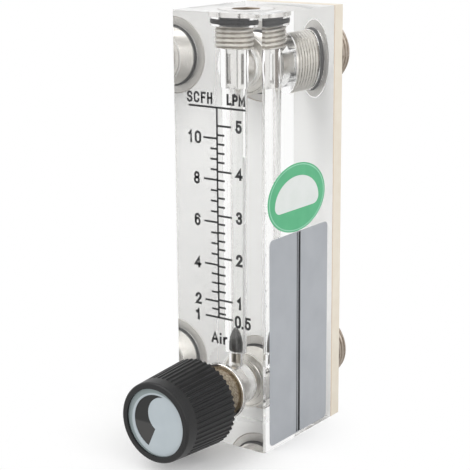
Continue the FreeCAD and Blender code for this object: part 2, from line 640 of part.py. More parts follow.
def draw_comma(sketch, inset):
    """The comma mark: a wide arc, a lobe that leaves it at the tip, and a straight tail edge."""
    wide, lobe = size["mark_radius"] - inset, size["lobe_radius"] + inset
    wide_centre = (size["mark_shift"], ZERO)
    lobe_centre = (size["lobe_across"], size["lobe_up"])
    notch_x, tail_x = -(size["mark_notch"] + inset * 2), -(size["mark_tail"] + inset * 2)
    spread_x = lobe_centre[0].value - wide_centre[0].value
    spread_y = lobe_centre[1].value
    spread = math.hypot(spread_x, spread_y)
    along = (wide.value ** 2 - lobe.value ** 2 + spread ** 2) / (2 * spread)
    off = math.sqrt(wide.value ** 2 - along ** 2)
    tip_x = wide_centre[0].value + (along * spread_x - off * spread_y) / spread
    tip_y = (along * spread_y + off * spread_x) / spread
    tail_y = -math.sqrt(wide.value ** 2 - (tail_x.value - wide_centre[0].value) ** 2)
    notch_y = lobe_centre[1].value - math.sqrt(lobe.value ** 2 - (notch_x.value - lobe_centre[0].value) ** 2)
    tip, tail = FreeCAD.Vector(tip_x, tip_y, 0), FreeCAD.Vector(tail_x.value, tail_y, 0)
    notch = FreeCAD.Vector(notch_x.value, notch_y, 0)

    def arc(centre, radius, start, end):
        middle = FreeCAD.Vector(centre[0].value, centre[1].value, 0)
        circle = Part.Circle(middle, FreeCAD.Vector(0, 0, 1), radius.value)
        first = math.atan2(start.y - middle.y, start.x - middle.x)
        last = math.atan2(end.y - middle.y, end.x - middle.x)
        return Part.ArcOfCircle(circle, first, last if last > first else last + 2 * math.pi)

    sketch.addGeometry([arc(wide_centre, wide, tip, tail), arc(lobe_centre, lobe, tip, notch),
                        Part.LineSegment(tail, notch)], False)
    for join in ((0, 1, 1, 1), (0, 2, 2, 1), (1, 2, 2, 2)):
        sketch.addConstraint(Sketcher.Constraint("Coincident", *join))
    pin_point(sketch, 0, 3, wide_centre)
    pin_point(sketch, 1, 3, lobe_centre)
    bind(sketch, "Radius", (0,), wide)
    bind(sketch, "Radius", (1,), lobe)
    bind(sketch, "DistanceX", (-1, 1, 2, 1), tail_x)
    bind(sketch, "DistanceX", (-1, 1, 2, 2), notch_x)


def make_knob_cap():
    """Pale disc in the knob's front, with a recess for the comma mark."""
    body = new_body("knob_cap", y=FRONT, z=INLET_Z)
    turn_lengthwise(body, "cap_disc", [
        (CAP_FACE, ZERO), (CAP_FACE, size["cap_radius"]), (CAP_BACK, size["cap_radius"]), (CAP_BACK, ZERO)])
    outline = new_sketch(body, "recess_outline", "XZ_Plane")
    outline.setExpression("AttachmentOffset.Base.z", (-CAP_FACE).text)
    draw_comma(outline, ZERO)
    cut_into(body, "mark_recess", outline, size["mark_depth"])
    return body


def make_knob_pointer():
    """Dark inlay in the shape of a comma, which shows how far the valve is open."""
    body = new_body("knob_pointer", y=FRONT, z=INLET_Z)
    outline = new_sketch(body, "mark_outline", "XZ_Plane")
    outline.setExpression("AttachmentOffset.Base.z", (-(CAP_FACE + size["mark_depth"])).text)
    draw_comma(outline, size["turn_gap"])
    extrude(body, "mark", outline, size["mark_depth"] - size["mark_sink"])
    return body


def make_knob_screw():
    """Slotted screw under the cap, which holds the knob on the stem."""
    body = new_body("knob_screw", y=FRONT, z=INLET_Z)
    end = KNOB_WEB_BACK + size["screw_grip"] - size["turn_gap"]
    turn_lengthwise(body, "screw_turning", [
        (CAP_BACK, ZERO), (CAP_BACK, size["screw_head_radius"]), (SCREW_HEAD_BACK, size["screw_head_radius"]),
        (SCREW_HEAD_BACK, size["screw_radius"]), (end, size["screw_radius"]), (end, ZERO)])
    half, reach = size["screw_slot_width"] / 2, size["screw_head_radius"] + OVERRUN
    outline = new_sketch(body, "slot_outline", "XZ_Plane")
    outline.setExpression("AttachmentOffset.Base.z", (-CAP_BACK).text)
    draw_outline(outline, [(-reach, -half), (reach, -half), (reach, half), (-reach, half)])
    cut_into(body, "driver_slot", outline, size["screw_slot_depth"])
    return body


def make_side_label():
    """Film label on the right-hand side of the clear block."""
    body = new_body("side_label")
    body.setExpression("Placement.Base.x", (size["body_width"] / 2).text)
    front, low = FRONT + size["label_setback"], size["label_lift"]
    rear, high = front + size["label_width"], low + size["label_height"]
    outline = new_sketch(body, "label_outline", "YZ_Plane")
    draw_outline(outline, [(front, low), (rear, low), (rear, high), (front, high)])
    sheet_of_film = extrude(body, "film", outline, size["label_thickness"])

    def through_thickness(edge):
        return edge.BoundBox.YLength < 0.001 and edge.BoundBox.ZLength < 0.001

    fillet(body, "film_corners", sheet_of_film, size["label_corner"], through_thickness)
    return body


def make_inspection_sticker():
    """Oval sticker on the same side, just above the label."""
    outline = doc.addObject("Part::Ellipse", "sticker_outline")
    outline.setExpression("MajorRadius", size["sticker_half_width"].text)
    outline.setExpression("MinorRadius", size["sticker_half_height"].text)
    sticker = doc.addObject("Part::Extrusion", "inspection_sticker")
    sticker.Label = "inspection_sticker"
    sticker.Base = outline
    sticker.Dir = FreeCAD.Vector(0, 0, 1)
    sticker.Solid = True
    sticker.setExpression("LengthFwd", size["sticker_thickness"].text)
    sticker.Placement.Rotation = FreeCAD.Rotation(FreeCAD.Vector(1, 1, 1), 120)
    height = size["label_lift"] + size["label_height"] + size["sticker_gap"] + size["sticker_half_height"]
    sticker.setExpression("Placement.Base.x", (size["body_width"] / 2).text)
    sticker.setExpression("Placement.Base.y", (FRONT + size["sticker_setback"]).text)
    sticker.setExpression("Placement.Base.z", height.text)
    return sticker


def make_rings():
    """The five black sealing rings, each in its gland."""
    port_gland = REAR - size["port_gland_depth"] / 2
    port_radii = (size["port_gland_radius"], size["port_neck_radius"])
    gland = size["bonnet_flange_thickness"] + size["bonnet_gland_length"] / 2
    groove = size["stem_groove_setback"] + size["stem_groove_length"] / 2
    barrel_bore = size["stem_barrel_radius"] + size["turn_gap"]
    shank_bore = size["bonnet_shank_radius"] + size["fit_gap"]
    return [
        new_ring("outlet_o_ring", port_gland, OUTLET_Z, *port_radii, True),
        new_ring("inlet_o_ring", port_gland, INLET_Z, *port_radii, True),
        new_ring("top_plug_o_ring", TUBE_Y, (PLUG_SEAT_Z + PLUG_THREAD_TOP_Z) / 2,
                 size["plug_gland_radius"], size["plug_neck_radius"], False),
        new_ring("bonnet_o_ring", FRONT + gland, INLET_Z, shank_bore, size["bonnet_neck_radius"], True),
        new_ring("stem_o_ring", FRONT + groove, INLET_Z, barrel_bore, size["stem_groove_radius"], True),
    ]


def check_document(nodes):
    """Stop if any feature failed, or if a node is not one closed, valid solid."""
    for item in doc.Objects:
        if "Invalid" in item.State or "Error" in item.State:
            raise RuntimeError(f"{item.Name} failed: {item.State}")
    for node in nodes:
        shape = node.Shape
        if shape.isNull() or not shape.isValid() or len(shape.Solids) != 1:
            raise RuntimeError(f"{node.Label} is not one valid solid")


def main():
    nodes = [
        make_meter_body(), make_back_plate(),
        make_fitting("outlet_fitting", OUTLET_Z), make_fitting("inlet_fitting", INLET_Z),
        make_top_plug(), make_upper_float_stop(), make_float(), make_float_seat(),
        make_valve_bonnet(), make_valve_seat(), make_valve_stem(),
        make_knob(), make_knob_cap(), make_knob_pointer(), make_knob_screw(),
        make_side_label(), make_inspection_sticker(), *make_rings()]
    doc.recompute()
    check_document(nodes)
    os.makedirs("parts", exist_ok=True)
    for node in nodes:
        node.Shape.exportStep(f"parts/{node.Label}.step")
        print(f"{node.Label}: {node.Shape.Volume:.1f} mm3, {len(node.Shape.Faces)} faces")


main()
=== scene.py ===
"""Looks of the panel rotameter: clear block, turned metal, print, knob finish, light and camera.

Places are written in millimetres in the part's frame: the origin is the middle of the clear block's base,
+Z is up along the tube, and the scale face looks towards -Y. mm() turns them into metres.
"""

import math

import bmesh
import bpy
from mathutils import Matrix, Vector


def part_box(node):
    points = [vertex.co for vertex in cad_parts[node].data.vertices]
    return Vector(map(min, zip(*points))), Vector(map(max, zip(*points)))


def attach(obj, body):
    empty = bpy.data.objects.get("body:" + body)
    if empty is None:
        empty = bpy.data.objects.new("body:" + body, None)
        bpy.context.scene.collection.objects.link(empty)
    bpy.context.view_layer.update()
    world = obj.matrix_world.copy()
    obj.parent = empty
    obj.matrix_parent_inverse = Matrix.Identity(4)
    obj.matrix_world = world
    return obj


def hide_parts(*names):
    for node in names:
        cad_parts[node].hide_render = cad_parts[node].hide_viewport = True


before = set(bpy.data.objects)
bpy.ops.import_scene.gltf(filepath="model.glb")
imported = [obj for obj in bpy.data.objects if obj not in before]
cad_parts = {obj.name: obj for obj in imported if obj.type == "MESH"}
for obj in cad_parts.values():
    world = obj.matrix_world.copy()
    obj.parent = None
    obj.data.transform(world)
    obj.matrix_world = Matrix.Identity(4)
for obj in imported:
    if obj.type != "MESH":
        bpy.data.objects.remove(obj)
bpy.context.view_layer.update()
SCENE = bpy.context.scene
MILLIMETRE = 0.001    # in metres
X, Y, Z = 0, 1, 2

# ---------------------------------------------------------------- places taken from the CAD nodes


def node_span(node, axis):
    """Lowest and highest place of a CAD node along one axis, in millimetres."""
    low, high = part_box(node)
    return low[axis] * 1000, high[axis] * 1000


def node_centre(node, axis):
    """Middle of a CAD node along one axis, in millimetres."""
    return sum(node_span(node, axis)) / 2


FRONT, REAR = node_span("meter_body", Y)
TOP = node_span("meter_body", Z)[1]
HALF_WIDTH = node_span("meter_body", X)[1]
OUTLET_Z = node_centre("outlet_fitting", Z)
INLET_Z = node_centre("inlet_fitting", Z)
TUBE_Y = node_centre("top_plug", Y)
PLUG_LOW, PLUG_HIGH = node_span("top_plug", Z)
STOP_LOW = node_span("upper_float_stop", Z)[0]
FITTING_OUT = node_span("outlet_fitting", Y)[1]
PLATE_BACK = node_span("back_plate", Y)[1]
BONNET_OUT, BONNET_IN = node_span("valve_bonnet", Y)
SEAT_RISE = 0.2       # how far the float seat stands above the shoulder that it rests on
SHOULDER_Z = node_span("float_seat", Z)[1] - SEAT_RISE

# ---------------------------------------------------------------- sizes shared by bores and turned metal

SEATED = 0.01         # acrylic closes on the plate, the films and the threads, with no air between them
TUBE_LOW_R, TUBE_HIGH_R = 3.5, 3.95

PORT_PITCH, PORT_CREST, PORT_ROOT = 1.337, 8.33, 7.55
PORT_DEPTH, PORT_GLAND_DEPTH = 13.5, 2.8
PORT_RING_R, PORT_RING_SQUEEZE = 8.85, 0.45   # sealing ring, and how far it presses into the clear block
PORT_GLAND_R = PORT_RING_R - PORT_RING_SQUEEZE

PLUG_PITCH, PLUG_CREST, PLUG_ROOT = 1.25, 6.0, 5.45
PLUG_THREAD_TOP, PLUG_SEAT_Z = 115.8, 118.3
PLUG_HEAD_R, PLUG_CHAMFER_Z = 7.8, 119.7
PLUG_RING_R, PLUG_RING_SQUEEZE = 7.4, 0.25
PLUG_GLAND_R = PLUG_RING_R - PLUG_RING_SQUEEZE

BULKHEAD_PITCH, BULKHEAD_CREST, BULKHEAD_ROOT = 1.5, 10.0, 9.15

FLANGE_R, FLANGE_DEPTH = 8.2, 1.5     # the bonnet's, sunk in the scale face
SHANK_R = 6.0


def mm(*values):
    """Vector in metres from values in millimetres."""
    return Vector([v * MILLIMETRE for v in values])


# ---------------------------------------------------------------- materials


class Finish:
    """A node material around one Principled shader, with helpers for procedural detail."""

    def __init__(self, name, colour, metallic=0.0, roughness=0.5, ior=1.5):
        self.material = bpy.data.materials.new(name)
        self.material.use_nodes = True
        self.tree = self.material.node_tree
        self.shader = self.tree.nodes["Principled BSDF"]
        self.colour = (*colour, 1.0)
        self.shader.inputs["Base Color"].default_value = self.colour
        self.shader.inputs["Metallic"].default_value = metallic
        self.shader.inputs["Roughness"].default_value = roughness
        self.shader.inputs["IOR"].default_value = ior
        self.place = self.node("ShaderNodeTexCoord").outputs["Object"]

    def node(self, kind, **inputs):
        """A new node, with values for some of its inputs."""
        node = self.tree.nodes.new(kind)
        for name, value in inputs.items():
            node.inputs[name].default_value = value
        return node

    def link(self, output, target):
        self.tree.links.new(output, target)

    def calculate(self, operation, output, value=None):
        """Result of a Math node on an output and, where the operation takes two, a number."""
        node = self.node("ShaderNodeMath")
        node.operation = operation
        self.link(output, node.inputs[0])
        if value is not None:
            node.inputs[1].default_value = value
        return node.outputs[0]

    def component(self, vector, axis):
        """One component of a vector output."""
        parts = self.node("ShaderNodeSeparateXYZ")
        self.link(vector, parts.inputs[0])
        return parts.outputs[axis]

    def ramp(self, output, zero_at, one_at):
        """Node that rises from 0 to 1 between two places, given in millimetres, and is level beyond them."""
        ends = {"From Min": zero_at * MILLIMETRE, "From Max": one_at * MILLIMETRE}
        ramp = self.node("ShaderNodeMapRange", **ends)
        self.link(output, ramp.inputs["Value"])
        return ramp

    def facing_minus(self, axis):
        """1 on faces that look towards the negative end of an axis, else 0."""
        normal = self.node("ShaderNodeNewGeometry").outputs["True Normal"]
        return self.calculate("LESS_THAN", self.component(normal, axis), -0.5)

    def noise(self, size_mm, stretch=(1, 1, 1)):
        """Noise whose features are about size_mm across."""
        mapping = self.node("ShaderNodeMapping")
        mapping.inputs["Scale"].default_value = stretch
        self.link(self.place, mapping.inputs["Vector"])
        texture = self.node("ShaderNodeTexNoise", Scale=1000.0 / size_mm, Detail=3.0)
        self.link(mapping.outputs["Vector"], texture.inputs["Vector"])
        return texture.outputs["Fac"]

    def vary_colour(self, fac, other, low=0.35, high=0.65):
        """Blend from the base colour to the other colour where fac rises from low to high."""
        blend = self.node("ShaderNodeValToRGB")
        blend.color_ramp.elements[0].position = low
        blend.color_ramp.elements[1].position = high
        blend.color_ramp.elements[0].color = self.colour
        blend.color_ramp.elements[1].color = (*other, 1.0)
        self.link(fac, blend.inputs["Fac"])
        self.link(blend.outputs["Color"], self.shader.inputs["Base Color"])

    def lay_over(self, fac, other):
        """Lay one more colour over what vary_colour made, where fac is 1."""
        mix = self.node("ShaderNodeMix")
        mix.data_type = "RGBA"
        self.link(fac, mix.inputs["Factor"])
        self.link(self.shader.inputs["Base Color"].links[0].from_socket, mix.inputs["A"])
        mix.inputs["B"].default_value = (*other, 1.0)
        self.link(mix.outputs["Result"], self.shader.inputs["Base Color"])

    def vary_roughness(self, fac, low, high):
        """Roughness that goes from low to high as fac goes from 0 to 1."""
        spread = self.node("ShaderNodeMapRange", **{"To Min": low, "To Max": high})
        self.link(fac, spread.inputs["Value"])
        self.link(spread.outputs["Result"], self.shader.inputs["Roughness"])

    def bump(self, fac, height_mm):
        """Fine relief of that height."""
        bump = self.node("ShaderNodeBump", Strength=1.0, Distance=height_mm * MILLIMETRE)
        self.link(fac, bump.inputs["Height"])
        self.link(bump.outputs["Normal"], self.shader.inputs["Normal"])

    def mix_shaders(self, fac, first, second):
        """Shader that is the first where fac is 0 and the second where it is 1."""
        mix = self.node("ShaderNodeMixShader")
        self.link(fac, mix.inputs["Fac"])
        self.link(first, mix.inputs[1])
        self.link(second, mix.inputs[2])
        return mix.outputs["Shader"]

    def show(self, output):
        """Make a shader the one that the surface shows."""
        self.link(output, self.tree.nodes["Material Output"].inputs["Surface"])


def clear_plastic(name, haze_low, haze_high):
    """Acrylic that bends what is seen through it and lets lamp light in to the pieces inside."""
    tint = (0.99, 0.99, 0.985)
    finish = Finish(name, tint, roughness=haze_low, ior=1.49)
    finish.shader.inputs["Transmission Weight"].default_value = 1.0
    finish.vary_roughness(finish.noise(6.0), haze_low, haze_high)
    in_shadow = finish.node("ShaderNodeLightPath").outputs["Is Shadow Ray"]
    clear = finish.node("ShaderNodeBsdfTransparent", Color=(*tint, 1.0))
    finish.show(finish.mix_shaders(in_shadow, finish.shader.outputs["BSDF"], clear.outputs["BSDF"]))
    return finish.material


def skin(finish, size_mm, roughness, bump_mm):
    """Gloss and a fine relief that vary with one noise."""
    fac = finish.noise(size_mm)
    finish.vary_roughness(fac, *roughness)
    finish.bump(fac, bump_mm)


def mark_finish():
    """Dark mark whose lower half is painted lighter, a painted highlight, with a soft step just below the
    knob's axis.
    """
    step_top, step_foot = INLET_Z - 0.4, INLET_Z - 0.9
    finish = Finish("mark_dark", (0.016, 0.017, 0.0165), roughness=0.42, ior=1.4)
    lower = finish.ramp(finish.component(finish.place, Z), step_top, step_foot)
    finish.vary_colour(lower.outputs["Result"], (0.05, 0.049, 0.048), 0.0, 1.0)
    skin(finish, 1.5, (0.36, 0.5), 0.004)
    return finish.material


def stop_finish():
    """Bright stop with a dark band of painted shade over its middle, where its slots are seen on its left and
    right.
    """
    half_band, blur = 0.9, 0.15
    finish = Finish("stop_nickel", (0.80, 0.79, 0.775), metallic=1.0, roughness=0.2)
    offset = finish.calculate("SUBTRACT", finish.component(finish.place, Y), TUBE_Y * MILLIMETRE)
    # painted shade, laid as a dark band over the stop's middle
    painted_opening_shade = finish.ramp(finish.calculate("ABSOLUTE", offset), half_band + blur, half_band)
    finish.vary_colour(painted_opening_shade.outputs["Result"], (0.20, 0.17, 0.145), 0.0, 1.0)
    skin(finish, 2.5, (0.14, 0.26), 0.004)
    return finish.material


def plate_finish():
    """Cream plastic, with a pale grey face towards the clear block and a thin tan line beside it."""
    seam_end, seam_blur = REAR + 0.25, 0.35
    finish = Finish("cream_plate", (0.89, 0.82, 0.70), roughness=0.48)
    fac = finish.noise(4.0)
    finish.vary_colour(fac, (0.86, 0.78, 0.655))
    seam = finish.ramp(finish.component(finish.place, Y), seam_end + seam_blur, seam_end)
    finish.lay_over(seam.outputs["Result"], (0.72, 0.57, 0.44))
    finish.lay_over(finish.facing_minus(Y), (0.94, 0.94, 0.93))
    finish.bump(fac, 0.01)
    return finish.material


def plain(name, colour, other, size_mm, roughness, metallic=0.0, bump_mm=0.004, stretch=(1, 1, 1), ior=1.5,
          back=None):
    """A surface whose colour, gloss and skin vary a little at one scale.

    back is the colour of a film's other side, which lies on the clear block and looks towards -X.
    """
    finish = Finish(name, colour, metallic=metallic, roughness=roughness[0], ior=ior)
    fac = finish.noise(size_mm, stretch=stretch)
    finish.vary_colour(fac, other)
    finish.vary_roughness(fac, *roughness)
    finish.bump(fac, bump_mm)
    if back:
        finish.lay_over(finish.facing_minus(X), back)
    return finish.material


POLISHED = clear_plastic("acrylic_polished", 0.0, 0.008)
BORED = clear_plastic("acrylic_bored", 0.01, 0.04)
TURNED = clear_plastic("acrylic_turned", 0.1, 0.2)

NICKEL = plain("nickelled_brass", (0.66, 0.63, 0.59), (0.58, 0.545, 0.50), 3.0, (0.3, 0.42), 1.0, 0.006)
BRIGHT_NICKEL = plain("bright_nickel", (0.80, 0.79, 0.775), (0.73, 0.71, 0.69), 2.5, (0.1, 0.22), 1.0)
# Lighter copy of the nickel: a painted highlight on the threads seen through the block.
THREAD_HIGHLIGHT_NICKEL = plain("nickel_thread_highlight", (0.81, 0.79, 0.75), (0.755, 0.73, 0.685), 2.0, (0.3, 0.42), 1.0)
FLANGE_NICKEL = plain("nickel_flange", (0.70, 0.685, 0.66), (0.64, 0.62, 0.59), 2.0, (0.4, 0.5), 0.55)
# Darker copy of the nickel: painted shade on the fitting's thread behind the plate.
BULKHEAD_SHADE_NICKEL = plain("nickel_bulkhead_shade", (0.44, 0.385, 0.335), (0.37, 0.315, 0.265), 1.0, (0.3, 0.42),
                        1.0, 0.006)
# Darker copy of the nickel: painted shade in thread roots behind the plate, the bonnet's ring groove, the
# plug's chamfer and its hexagon recess.
SHADED_GROOVE = plain("nickel_shaded_groove", (0.27, 0.225, 0.18), (0.20, 0.16, 0.125), 1.0, (0.4, 0.55), 1.0, 0.01)
# Darker copy of the thread nickel: painted shade in the roots of threads seen through the block.
PALE_SHADED_GROOVE = plain("nickel_pale_shaded_groove", (0.42, 0.39, 0.35), (0.36, 0.33, 0.295), 1.0, (0.4, 0.55), 1.0)
# Brass of the knurled collar; its darkness and dark spots are partly painted shade from the knob in front of
# it.
COLLAR_BRASS = plain("collar_brass", (0.47, 0.41, 0.32), (0.26, 0.215, 0.165), 0.7, (0.36, 0.5), 1.0, 0.01)
STEEL = plain("stem_steel", (0.66, 0.66, 0.66), (0.56, 0.56, 0.56), 1.2, (0.18, 0.3), 1.0,
              stretch=(1, 0.1, 1))
SEAT_METAL = plain("seat_metal", (0.60, 0.55, 0.48), (0.50, 0.45, 0.39), 1.0, (0.25, 0.4), 1.0)
STOP = stop_finish()
FLOAT = plain("float_dark", (0.055, 0.055, 0.055), (0.085, 0.083, 0.08), 0.5, (0.28, 0.42), 0.6, 0.01)

RUBBER = plain("black_rubber", (0.018, 0.018, 0.019), (0.03, 0.03, 0.031), 0.6, (0.42, 0.6), 0.0, 0.01)
CREAM = plate_finish()
KNOB = plain("knob_black", (0.012, 0.012, 0.0125), (0.019, 0.019, 0.0195), 0.35, (0.34, 0.48), 0.0, 0.012,
             ior=1.38)
CAP = plain("cap_grey", (0.465, 0.52, 0.55), (0.44, 0.495, 0.525), 5.0, (0.3, 0.4), 0.0, 0.003)
# Greyer rim of the cap, partly its own colour and partly painted shade where it widens at the upper left.
CAP_EDGE = plain("cap_edge_grey", (0.27, 0.32, 0.325), (0.25, 0.30, 0.305), 5.0, (0.3, 0.4), 0.0, 0.003)
MARK = mark_finish()

LABEL = plain("label_silver", (0.45, 0.47, 0.50), (0.415, 0.435, 0.465), 9.0, (0.38, 0.5), 0.0, 0.003,
              back=(0.75, 0.75, 0.75))
GREEN = plain("sticker_green", (0.085, 0.46, 0.22), (0.105, 0.50, 0.245), 5.0, (0.35, 0.5), 0.0, 0.003,
              back=(0.8, 0.8, 0.8))
PALE_GREEN = plain("sticker_line", (0.30, 0.66, 0.47), (0.34, 0.70, 0.5), 5.0, (0.35, 0.5), 0.0, 0.003)
STICKER_WHITE = plain("sticker_white", (0.84, 0.87, 0.85), (0.80, 0.84, 0.81), 5.0, (0.35, 0.5), 0.0, 0.003)
INK = plain("black_ink", (0.012, 0.012, 0.013), (0.022, 0.022, 0.023), 1.5, (0.35, 0.55), 0.0, 0.002)
LABEL_INK = plain("label_ink", (0.055, 0.06, 0.065), (0.075, 0.08, 0.085), 1.5, (0.35, 0.55), 0.0, 0.002)

# ---------------------------------------------------------------- mesh building

SHARP_ANGLE = 32      # degrees: faces that meet at less are shaded as one surface
WELD_DISTANCE = 1e-8  # metres


def smooth_by_angle(mesh):
    """Smooth shading, apart from sharp edges."""
    for face in mesh.polygons:
        face.use_smooth = True
    mesh.set_sharp_from_angle(angle=math.radians(SHARP_ANGLE))


def weld_and_smooth(mesh):
    """Join vertices in one place, turn all faces outwards and shade them smoothly."""
    work = bmesh.new()
    work.from_mesh(mesh)
    bmesh.ops.remove_doubles(work, verts=work.verts, dist=WELD_DISTANCE)
    bmesh.ops.recalc_face_normals(work, faces=work.faces)
    work.to_mesh(mesh)
    work.free()
    smooth_by_angle(mesh)


def new_piece(name, vertices, faces, material, slot=None, body="root", printed=False):
    """A mesh object from places in millimetres, which with a slot is a finished piece that rides on a body.

    Printed pieces keep flat faces and the order they are given in.
    """
    mesh = bpy.data.meshes.new(name)
    mesh.from_pydata([v * MILLIMETRE for v in vertices], [], faces)
    if not printed:
        weld_and_smooth(mesh)
    mesh.materials.append(material)
    piece = bpy.data.objects.new(name, mesh)
    SCENE.collection.objects.link(piece)
    if slot:
        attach(piece, body)
    return piece


def ring_faces(count):
    """Quads between a loop of count vertices and the next such loop."""
    return [(k, (k + 1) % count, (k + 1) % count + count, k + count) for k in range(count)]


def other_finish(piece, material, chosen):
    """Give another material to the faces that chosen() picks by their centre in millimetres."""
    piece.data.materials.append(material)
    index = len(piece.data.materials) - 1
    for face in piece.data.polygons:
        if chosen(face.center * 1000):
            face.material_index = index


def thread(pitch, crest, root):
    """Radius of a screw thread at a place along the axis and an angle round it."""
    steepness, flat = 1.3, 0.15       # straight flanks between a flat crest and a flat root

    def radius(along, angle):
        phase = (along / pitch - angle / (2 * math.pi)) % 1.0
        flank = min(max(abs(2 * phase - 1) * steepness - flat, 0.0), 1.0)
        return root + (crest - root) * flank

    return radius


def chamfered(radius, end, lead, crest):
    """The same thread with a chamfer of size lead at its end."""

    def limited(along, angle):
        room = abs(end - along)
        return min(radius(along, angle), crest - max(0.0, lead - room))

    return limited


def hexagon(across_flats):
    """Radius of a hexagon at an angle round it."""

    def radius(along, angle):
        return across_flats / 2 / math.cos(angle % (math.pi / 3) - math.pi / 6)

    return radius


def rows_between(start, end, step, radius):
    """Rows of a turned profile from start to end, where radius is a thread or another function."""
    count = max(1, round(abs(end - start) / step))
    places = [start + (end - start) * k / count for k in range(count + 1)]
    return [(place, radius) for place in places]


def turned(name, rows, centre, axis, material, segments, closed=True, **options):
    """A turned piece: rows are (along, radius), and a radius may be a function of place and angle.

    along starts at centre. A closed profile goes on from its last row to its first.
    """
    vertices = []
    for along, radius in rows:
        for k in range(segments):
            angle = 2 * math.pi * k / segments
            r = radius(along, angle) if callable(radius) else radius
            sine, cosine = r * math.sin(angle), r * math.cos(angle)
            place = (sine, along, cosine) if axis == Y else (cosine, sine, along)
            vertices.append(Vector([start + v for start, v in zip(centre, place)]))
    count = len(rows)
    faces = []
    for i in range(count if closed else count - 1):
        first, second = i * segments, (i + 1) % count * segments
        for k in range(segments):
            after = (k + 1) % segments
            faces.append((first + k, first + after, second + after, second + k))
    return new_piece(name, vertices, faces, material, **options)


def off_tube_axis(place):
    """Distance of a place from the tube's axis."""
    return math.hypot(place.x, place.y - TUBE_Y)


def off_axis_at(place, height):
    """Distance of a place from the middle line along Y at that height."""
    return math.hypot(place.x, place.z - height)


# ---------------------------------------------------------------- clear block

BORE_FACETS = 144
port_thread = thread(PORT_PITCH, PORT_CREST, PORT_ROOT)
plug_thread = thread(PLUG_PITCH, PLUG_CREST, PLUG_ROOT)


def port_cutter(name, height, pilot_end, cone):
    """A port bored from the rear face, with places from that face inwards as negative numbers."""
    pilot_r, clearance_r, relief = 6.3, 8.38, 0.5
    point = math.radians(31)
    rows = [(1.0, 0.0), (1.0, PORT_GLAND_R), (-PORT_GLAND_DEPTH, PORT_GLAND_R),
            (-PORT_GLAND_DEPTH, PORT_ROOT - SEATED), (-PORT_DEPTH, PORT_ROOT - SEATED),
            (-PORT_DEPTH, clearance_r), (-PORT_DEPTH - relief, clearance_r), (-PORT_DEPTH - relief, pilot_r),
            (pilot_end, pilot_r)]
    tip = pilot_end - pilot_r * math.tan(point) if cone else pilot_end
    rows.append((tip, 0.0))
    return turned(name, rows, (0, REAR, height), Y, TURNED, BORE_FACETS, closed=False)


def tube_cutter():
    """The tapered tube, with its feed below, the float stop's bore and the plug's thread above."""
    feed_r, stop_r, above = 2.3, 4.35, 121.0
    stop_floor = STOP_LOW - 0.05
    rows = [(INLET_Z, 0.0), (INLET_Z, feed_r), (SHOULDER_Z, feed_r), (SHOULDER_Z, TUBE_LOW_R),
            (stop_floor, TUBE_HIGH_R), (stop_floor, stop_r), (PLUG_LOW, stop_r),
            (PLUG_LOW, PLUG_ROOT - SEATED), (PLUG_THREAD_TOP, PLUG_ROOT - SEATED),
            (PLUG_THREAD_TOP, PLUG_GLAND_R), (PLUG_SEAT_Z, PLUG_GLAND_R),
            (PLUG_SEAT_Z, PLUG_HEAD_R - SEATED), (above, PLUG_HEAD_R - SEATED), (above, 0.0)]
    return turned("cut_tube", rows, (0, TUBE_Y, 0), Z, BORED, BORE_FACETS, closed=False)


def valve_cutter():
    """Bore for the bonnet, the valve chamber behind it and the needle's way into the inlet port."""
    shank_end, chamber_end, way_end = 10.6, 16.0, 20.0
    chamber_r, way_r = 6.05, 2.65
    rows = [(-1.0, 0.0), (-1.0, FLANGE_R - SEATED), (FLANGE_DEPTH, FLANGE_R - SEATED),
            (FLANGE_DEPTH, SHANK_R - SEATED), (shank_end, SHANK_R - SEATED), (shank_end, chamber_r),
            (chamber_end, chamber_r), (chamber_end, way_r), (way_end, way_r), (way_end, 0.0)]
    return turned("cut_valve", rows, (0, FRONT, INLET_Z), Y, TURNED, BORE_FACETS, closed=False)


def solid_block():
    """The acrylic block before it is bored, with both front edges bevelled."""
    half, bevel, lift = HALF_WIDTH, 0.5, 0.01
    right, back = half + SEATED, REAR + SEATED
    outline = [(-half, FRONT + bevel), (-half + bevel, FRONT), (half - bevel, FRONT), (right, FRONT + bevel),
               (right, back), (-half, back)]
    vertices = [Vector((x, y, z)) for z in (lift, TOP) for x, y in outline]
    count = len(outline)
    faces = [tuple(range(count)), tuple(range(count, 2 * count))] + ring_faces(count)
    return new_piece("clear_block", vertices, faces, POLISHED)


def build_block():
    """The acrylic block: polished outside, with its bores cut from smooth turned cutters."""
    block = solid_block()
    block.data.materials.append(BORED)
    block.data.materials.append(TURNED)
    cutters = [tube_cutter(), port_cutter("cut_outlet", OUTLET_Z, -19.0, True),
               port_cutter("cut_inlet", INLET_Z, -15.0, False), valve_cutter()]
    for cutter in cutters:
        cut = block.modifiers.new(cutter.name, "BOOLEAN")
        cut.object = cutter
        cut.solver = "EXACT"
        cut.material_mode = "TRANSFER"
    bpy.context.view_layer.update()
    shaped = block.evaluated_get(bpy.context.evaluated_depsgraph_get())
    mesh = bpy.data.meshes.new_from_object(shaped)
    block.modifiers.clear()
    block.data = mesh
    for cutter in cutters:
        bpy.data.objects.remove(cutter)
    smooth_by_angle(mesh)
    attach(block, "root")
    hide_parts("meter_body")


build_block()

# ---------------------------------------------------------------- turned metal

METAL_FACETS, KNURL_FACETS = 120, 252
THREAD_STEPS = 12     # rows for each turn of a thread


